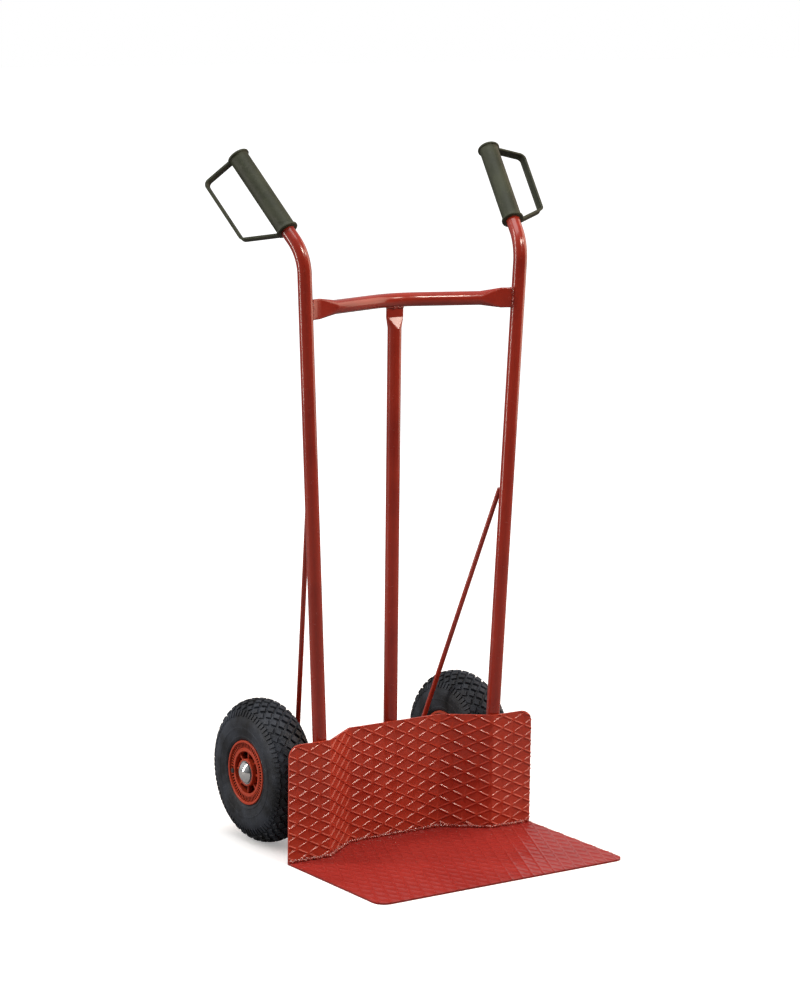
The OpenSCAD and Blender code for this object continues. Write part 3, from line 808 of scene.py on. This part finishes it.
# ---- Hub caps ----
# Pressed chrome domes pushed over the ends of the bar, outside the washers. They hold the wheels on and
# stay still while the wheels turn.
HUB_FACE, HUB_GAP, WASHER_T = 38.5, 0.3, 1.5
CAP_R, CAP_H = 19.0, 8.0


def turned(section, steps=96):
    """A solid of revolution about Z. The section is a closed run of (radius, height) points in mm."""
    shell = bmesh.new()
    rows = []
    for k in range(steps):
        a = 2 * math.pi * k / steps
        rows.append([shell.verts.new((r * math.cos(a) * MM, r * math.sin(a) * MM, h * MM))
                     for r, h in section])
    count = len(section)
    for k in range(steps):
        row, after = rows[k], rows[(k + 1) % steps]
        for i in range(count):
            j = (i + 1) % count
            if section[i][0] > 0 or section[j][0] > 0:
                shell.faces.new((row[i], row[j], after[j], after[i]))
    return healed(made(shell, "turned"))


def wheel_frame(side):
    """The wheel's frame: Z out along the bar from its middle plane, X towards the back."""
    flip = Matrix.Diagonal((side, 1, 1, 1))
    at = Matrix.Translation((WHEEL_X, AXLE_Y, AXLE_Z))
    return flip @ at @ Matrix.Rotation(math.pi / 2, 4, "Y") @ Matrix.Rotation(math.pi / 2, 4, "Z")


def dome(inset, steps=14):
    """The dome's outline from its crown to its edge, moved in by an inset."""
    ball = (CAP_R * CAP_R + CAP_H * CAP_H) / (2 * CAP_H)
    angles = [math.asin(CAP_R / ball) * k / steps for k in range(steps + 1)]
    return [((ball - inset) * math.sin(a), CAP_H - ball + (ball - inset) * math.cos(a)) for a in angles]


def chrome_finish():
    """Bright chrome plate with a faint haze."""
    finish = Finish("bright_chrome")
    haze = finish.noise(120.0, 5.0, 0.6).between(0.5, 0.75)
    finish.bump(finish.noise(260.0), 0.00002)
    return finish.wear(
        base_color=finish.mix((0.86, 0.87, 0.88), (0.70, 0.70, 0.70), haze * 0.4),
        roughness=0.05 + 0.10 * haze,
        metallic=1.0,
    )


chrome = chrome_finish()
cap_lift = HUB_FACE + HUB_GAP + WASHER_T
for side, word in ((-1, "left"), (1, "right")):
    shell_section = dome(0.0) + [(18.3, 0.0)] + dome(1.0)[-2::-1]
    cap_mesh = healed(turned(shell_section), wheel_frame(side) @ Matrix.Translation((0, 0, cap_lift * MM)))
    place(word + "_dome_cap", cap_mesh, chrome, "frame", "chrome", word + "_hub_cap", sharp=60)


# ---- Rims ----
# Two moulded plastic halves screwed together. Each has a lip, a ring of narrow deep pockets, an inner
# ring, eight thin set-back spokes and a boss that holds the bearing.
SPOKES, POCKETS = 8, 60
DECK, POCKET_FLOOR = 36.0, 24.0
RIM_SECTION = [
    (17.5, 0.05), (17.5, 26.5), (21.1, 26.5), (21.1, 37.9), (21.7, 38.5), (23.8, 38.5), (24.5, 37.8),
    (24.5, 6.5), (26.0, 5.0), (36.5, 5.0), (38.0, 6.5), (38.0, 36.4), (38.6, 37.0), (42.6, 37.0),
    (43.3, 36.3), (43.5, DECK), (44.4, DECK), (52.9, DECK), (53.4, DECK), (53.7, 38.2), (54.5, 38.95),
    (57.2, 38.95), (58.0, 38.2), (58.0, 36.0), (52.2, 36.0), (52.0, 34.0), (52.0, 0.05), (49.0, 0.05),
    (49.0, 2.0), (24.5, 2.0), (24.5, 0.05),
]
POCKET_START = RIM_SECTION.index((44.4, DECK))


def rim_cell():
    """One pocket's share of a rim half, open at its sides."""
    pitch = 2 * math.pi / POCKETS
    half_pocket = 0.32 * pitch
    angles = [-pitch / 2, -half_pocket, half_pocket, pitch / 2]
    shell = bmesh.new()
    columns = [[shell.verts.new((r * math.cos(a) * MM, r * math.sin(a) * MM, h * MM))
                for r, h in RIM_SECTION] for a in angles]
    count = len(RIM_SECTION)
    for c in range(3):
        for i in range(count):
            j = (i + 1) % count
            if c != 1 or i != POCKET_START:
                shell.faces.new((columns[c][i], columns[c][j], columns[c + 1][j], columns[c + 1][i]))
    low, high = POCKET_START, POCKET_START + 1
    mouth = [columns[1][low], columns[1][high], columns[2][high], columns[2][low]]
    floor = [shell.verts.new((v.co.x, v.co.y, POCKET_FLOOR * MM)) for v in mouth]
    for k in range(4):
        shell.faces.new((mouth[k], mouth[(k + 1) % 4], floor[(k + 1) % 4], floor[k]))
    shell.faces.new(floor)
    return made(shell, "rim_cell")


def spoke_cell():
    """One spoke: a thin rib with softened top edges, its ends sunk in the boss and the inner ring."""
    section = [(-2.0, 4.0), (2.0, 4.0), (1.6, 32.2), (1.0, 33.0), (-1.0, 33.0), (-1.6, 32.2)]
    return skin([[Vector((r, y, z)) * MM for y, z in section] for r in (23.9, 31.0, 38.4)])


def ring_recipe():
    """Sets copies of a cell evenly about Z and joins the ones that touch."""
    recipe = Recipe("cells_around", Cell=("Object", None), Count=("Int", POCKETS))
    count = recipe.given("Count")
    points = recipe.add("GeometryNodePoints", None, {"Count": count})
    turn = recipe.add("GeometryNodeInputIndex") * (2 * math.pi) / count
    spin = recipe.add("ShaderNodeCombineXYZ", None, {2: turn})
    cell = recipe.add("GeometryNodeObjectInfo", None, {0: recipe.given("Cell")}, out="Geometry")
    cells = recipe.add("GeometryNodeInstanceOnPoints", None,
                       {"Points": points, "Instance": cell, "Rotation": spin})
    real = recipe.add("GeometryNodeRealizeInstances", None, {0: cells})
    recipe.finish(recipe.add("GeometryNodeMergeByDistance", None, {0: real, "Distance": 0.01 * MM}))
    return recipe


around = ring_recipe()


def repeated(cell_mesh, count, material):
    """A cell mesh repeated about Z."""
    stand = stand_in(cell_mesh)
    mesh = around.run(bpy.data.meshes.new("start"), Cell=stand, Count=count, Material=material)
    bpy.data.objects.remove(stand)
    return mesh


def joined(*meshes):
    """Several meshes as one."""
    shell = bmesh.new()
    for mesh in meshes:
        shell.from_mesh(mesh)
    return made(shell, "joined")


def rim_finish():
    """Satin moulded plastic with light dust specks, and painted shade deep in the pockets and between the
    spokes.
    """
    finish = Finish("rim_plastic")
    drift = finish.noise(30.0, 3.0)
    dust = finish.noise(180.0, 5.0, 0.7).between(0.58, 0.75)
    finish.bump(finish.noise(500.0, 2.0), 0.00008)
    tone = finish.mix((0.42, 0.040, 0.014), (0.56, 0.060, 0.020), drift)
    # Painted shade: towards the wheel's middle plane, on the pocket floors and between the spokes, the colour
    # is mixed to a deep red-brown.
    depth = (finish.axis("X").math("ABSOLUTE") - WHEEL_X).math("ABSOLUTE")
    up, back = finish.axis("Z") - AXLE_Z, finish.axis("Y") - AXLE_Y
    pocket_ring = 43.8 * MM
    ring = (up * up + back * back).math("GREATER_THAN", pocket_ring ** 2)
    shade = depth.between(0.022 + 0.012 * ring, 0.032 + 0.0038 * ring)
    tone = finish.mix((0.075, 0.012, 0.007), tone, shade)
    return finish.wear(
        base_color=finish.mix(tone, (0.30, 0.12, 0.08), dust * 0.22),
        roughness=0.36 + 0.14 * drift + 0.15 * dust,
        specular_ior_level=0.30,
        coat_weight=0.08,
        coat_roughness=0.2,
    )


rim_plastic = rim_finish()
rim_ring = healed(repeated(rim_cell(), POCKETS, rim_plastic))
spokes = repeated(spoke_cell(), SPOKES, rim_plastic)
VALVE_R, VALVE_TURN, VALVE_HOLE_R = 45.5, math.radians(-8), 5.6


def valve_hole(mesh):
    """The half with a round hole through its pocket ring for the valve."""
    hole = turned([(0, 8), (VALVE_HOLE_R, 8), (VALVE_HOLE_R, 45), (0, 45)], 32)
    hole.transform(Matrix.Rotation(VALVE_TURN, 4, "Z") @ Matrix.Translation((VALVE_R * MM, 0, 0)))
    return cut(mesh, hole, "DIFFERENCE")


pierced = joined(valve_hole(rim_ring.copy()), spokes)
whole = joined(rim_ring, spokes)
for side, word in ((-1, "left"), (1, "right")):
    wheel = word + "_wheel"
    turn_over = Matrix.Diagonal((1, 1, -1, 1))
    place(word + "_rim_front", healed(pierced.copy(), wheel_frame(side)), rim_plastic, wheel, "rim_plastic",
          word + "_rim_outer")
    place(word + "_rim_back", healed(whole.copy(), wheel_frame(side) @ turn_over), rim_plastic, wheel,
          "rim_plastic", word + "_rim_inner")
    for node in ("rim_screws", "bearing_outer", "bearing_inner", "bearing_spacer"):
        from_cad(word + "_steel_" + node, zinc, wheel, "zinc_steel", word + "_" + node)


# ---- Tyres ----
# Black pneumatic rubber. Seven rows of four-pointed blocks cross the tread, each row half a pitch off
# the next, and small lugs run down both shoulders. The sidewalls are bare but for two moulded rings.
TYRE_HALF, CROWN, SECTION_R, FULLNESS = 42.5, 44.0, 86.0, 0.92
GROOVE_HALF, GROOVE_CROWN = 41.4, 39.8
LINING_HALF, LINING_CROWN = 36.0, 33.5
PITCHES = 38
BEAD = [
    (52.3, 20.0), (52.3, 35.7), (58.4, 35.8), (58.9, 36.4), (60.2, 38.0), (62.5, 39.2), (64.4, 40.1),
    (65.4, 40.3), (66.4, 39.8), (70.0, 40.6), (76.0, 41.5), (79.4, 41.8), (79.9, 42.2), (81.6, 42.2),
    (82.1, 41.8), (88.0, 41.7), (94.0, 41.1),
]


def shoulder(t, half=TYRE_HALF, reach=CROWN):
    """A point of the tyre's outline as (radius, offset), t running from the crown to the sidewall."""
    sign = math.copysign(1, t)
    return SECTION_R + reach * math.cos(abs(t)) ** FULLNESS, sign * half * math.sin(abs(t)) ** FULLNESS


def tyre_section():
    """The tyre without its blocks: the outside at the depth of the grooves, and the lining."""
    angles = (76, 69, 61, 53, 45, 36, 27, 18, 9)
    outer = BEAD + [shoulder(math.radians(a), GROOVE_HALF, GROOVE_CROWN) for a in angles]
    outer += [shoulder(0, GROOVE_HALF, GROOVE_CROWN)] + [(r, -h) for r, h in reversed(outer)]
    lining = [shoulder(math.radians(a), LINING_HALF, LINING_CROWN)
              for a in (-85, -70, -50, -25, 0, 25, 50, 70, 85)]
    return outer + [(60, -33.0)] + lining + [(60, 33.0)]


def on_tyre(t, along, sink):
    """A point of the tyre: t across the tread, along it in mm, and sunk below the outline."""
    r, h = shoulder(t)
    power = 2 / FULLNESS - 1
    slope_h = math.copysign((abs(h) / TYRE_HALF) ** power / TYRE_HALF, h)
    slope_r = (max(0.0, r - SECTION_R) / CROWN) ** power / CROWN
    scale = sink / math.hypot(slope_h, slope_r)
    r, h = r - slope_r * scale, h - slope_h * scale
    a = along / (SECTION_R + CROWN)
    return Vector((r * math.cos(a), r * math.sin(a), h)) * MM


def block(shell, middle, along, outline, levels=((1.0, 6.0), (0.95, 0.8), (0.86, 0.03))):
    """Adds one tread block: outline points are (across in radians, along in mm), levels (scale, sink)."""
    rows = [[shell.verts.new(on_tyre(middle + u * s, along + v * s, sink)) for u, v in outline]
            for s, sink in levels]
    walls(shell, rows)
    shell.faces.new(rows[0])
    shell.faces.new(rows[-1])


def tread_cell():
    """One pitch of the tread."""
    pitch = 2 * math.pi * (SECTION_R + CROWN) / PITCHES
    shell = bmesh.new()
    waist = 0.46
    star = [(1, 0), (waist, waist), (0, 1), (-waist, waist),
            (-1, 0), (-waist, -waist), (0, -1), (waist, -waist)]
    rows = ((0.0, 0.0, 0.150, 9.3), (0.255, 0.5, 0.170, 9.3),
            (0.52, 0.0, 0.170, 9.0), (0.79, 0.5, 0.165, 8.6))
    for row, offset, half_t, half_l in rows:
        for sign in ((1,) if row == 0 else (-1, 1)):
            block(shell, sign * row, offset * pitch, [(u * half_t, v * half_l) for u, v in star])
    for sign in (-1, 1):
        for at, offset, low_l, high_l in ((1.06, 0.0, 0.20, 4.4), (1.10, 0.5, 0.13, 4.0)):
            lug = [(-0.13, -high_l), (0.05, -0.85 * high_l), (low_l, -0.6 * high_l), (low_l, 0.6 * high_l),
                   (0.05, 0.85 * high_l), (-0.13, high_l)]
            block(shell, sign * at, offset * pitch, [(sign * u, v) for u, v in lug],
                  ((1.0, 5.0), (0.94, 0.9), (0.82, 0.05)))
    bmesh.ops.recalc_face_normals(shell, faces=shell.faces)
    return made(shell, "tread_cell")


def rubber_finish():
    """Black rubber with a blue-grey bloom, greyer on worn block tops and dusty in the sidewall."""
    finish = Finish("tyre_rubber")
    bloom = finish.noise(14.0, 5.0, 0.65)
    grain = finish.noise(350.0, 3.0, 0.6)
    dust = finish.noise(60.0, 6.0, 0.7).between(0.55, 0.75)
    finish.bump(grain + 1.2 * finish.noise(90.0, 3.0), 0.0006)
    tone = finish.mix((0.003, 0.004, 0.006), (0.034, 0.041, 0.056), bloom.between(0.36, 0.68))
    return finish.wear(
        base_color=finish.mix(tone, (0.075, 0.078, 0.082), dust * 0.30),
        roughness=0.42 + 0.20 * grain + 0.12 * dust,
        specular_ior_level=0.28,
    )


rubber = rubber_finish()
tyre_mesh = joined(turned(tyre_section(), 4 * PITCHES), repeated(tread_cell(), PITCHES, rubber))
for side, word in ((-1, "left"), (1, "right")):
    place(word + "_tyre_rubber", healed(tyre_mesh.copy(), wheel_frame(side)), rubber, word + "_wheel",
          "tyre_rubber", word + "_tyre", sharp=32)


# ---- Valves and inner tubes ----
# Black rubber inner tubes fill the tyres. Their bent stems come up through the pocket ring beside the
# hub, and a small plastic cap closes each.
def black_rubber_finish():
    """Matt black rubber with a fine grain."""
    finish = Finish("black_rubber")
    grain = finish.noise(300.0, 3.0)
    finish.bump(grain, 0.0001)
    return finish.wear(base_color=finish.mix((0.008, 0.008, 0.009), (0.020, 0.020, 0.021), grain),
                       roughness=0.42 + 0.2 * grain)


black_rubber = black_rubber_finish()
for word in ("left", "right"):
    wheel = word + "_wheel"
    from_cad(word + "_stem", black_rubber, wheel, "tube_rubber", word + "_valve_stem", 0.4 * MM)
    from_cad(word + "_tube", black_rubber, wheel, "tube_rubber", word + "_inner_tube")
    from_cad(word + "_valve_lid", black_rubber, wheel, "tube_rubber", word + "_valve_cap", 0.7 * MM)


# ---- Grips ----
# Dark olive moulded plastic sleeves pushed over the handles, with a ring at each end and a flat
# knuckle guard whose edges are thickened. The left and right guards are turned by different amounts.
GRIP_SLEEVE = [
    (12.55, 0.0), (18.6, 0.0), (19.6, 0.5), (20.0, 1.4), (20.0, 3.6), (19.5, 4.3), (18.0, 4.6), (17.35, 6.0),
    (17.25, 10.0), (17.25, 162.0), (17.4, 165.0), (18.0, 166.6), (19.5, 166.9), (20.0, 167.6), (20.0, 169.9),
    (19.3, 170.8), (17.0, 171.2), (10.0, 172.3), (0.0, 172.9), (0.0, 166.4), (12.55, 166.4),
]
GUARD_REACH, GUARD_R = 74.0, 9.0
GUARD_TURN = {-1: math.radians(57), 1: math.radians(11)}
GUARD_SECTION = [
    (-7.5, 1.7), (-6.9, 2.25), (-5.1, 2.25), (-4.5, 1.45), (4.5, 1.45), (5.1, 2.25), (6.9, 2.25), (7.5, 1.7),
    (7.5, -1.7), (6.9, -2.25), (5.1, -2.25), (4.5, -1.45), (-4.5, -1.45), (-5.1, -2.25), (-6.9, -2.25),
    (-7.5, -1.7),
]


def rounded_path(corners, radius, steps=8):
    """A run of straights whose inner corners are rounded."""
    path = [corners[0]]
    for before, at, after in zip(corners, corners[1:], corners[2:]):
        back, on = (before - at).normalized(), (after - at).normalized()
        half = back.angle(on) / 2
        middle = (back + on).normalized()
        centre = at + middle * (radius / math.sin(half))
        start = at + back * (radius / math.tan(half)) - centre
        end = at + on * (radius / math.tan(half)) - centre
        for k in range(steps + 1):
            share = k / steps
            path.append(centre + start.normalized().slerp(end.normalized(), share) * radius)
    return path + [corners[-1]]


def guard_mesh():
    """The guard in the grip's frame: X out from the sleeve, Z up it."""
    corners = [Vector((16.0, 0, 2.3)), Vector((GUARD_REACH, 0, 38)), Vector((GUARD_REACH, 0, 165)),
               Vector((16.0, 0, 168.5))]
    path = rounded_path(corners, GUARD_R)
    rings = []
    for i, point in enumerate(path):
        along = (path[min(i + 1, len(path) - 1)] - path[max(i - 1, 0)]).normalized()
        out = Vector((along.z, 0, -along.x))
        rings.append([(point + Vector((0, w, 0)) + out * t) * MM for w, t in GUARD_SECTION])
    return skin(rings)


def grip_finish():
    """Matt olive-black plastic with a fine moulded grain, polished a little where hands hold it."""
    finish = Finish("grip_plastic")
    grain = finish.noise(900.0, 3.0, 0.6)
    hand = finish.noise(26.0, 4.0, 0.6)
    scuff = finish.noise(70.0, 6.0, 0.7).between(0.56, 0.72)
    finish.bump(grain + 0.5 * scuff, 0.00022)
    tone = finish.mix((0.020, 0.024, 0.012), (0.038, 0.044, 0.024), hand.between(0.3, 0.7))
    return finish.wear(
        base_color=finish.mix(tone, (0.080, 0.086, 0.062), scuff * 0.30),
        roughness=0.40 + 0.18 * hand + 0.12 * grain,
        specular_ior_level=0.30,
    )


grip_plastic = grip_finish()
for side, word in ((-1, "left"), (1, "right")):
    start = handle_line(side) @ Matrix.Translation((0, 0, GRIP_START))
    seat = start @ Matrix.Rotation(GUARD_TURN[side], 4, "Z")
    grip_mesh = healed(joined(turned(GRIP_SLEEVE, 72), guard_mesh()), seat)
    place(word + "_grip_sleeve", grip_mesh, grip_plastic, "frame", "grip_plastic", word + "_grip", sharp=40)
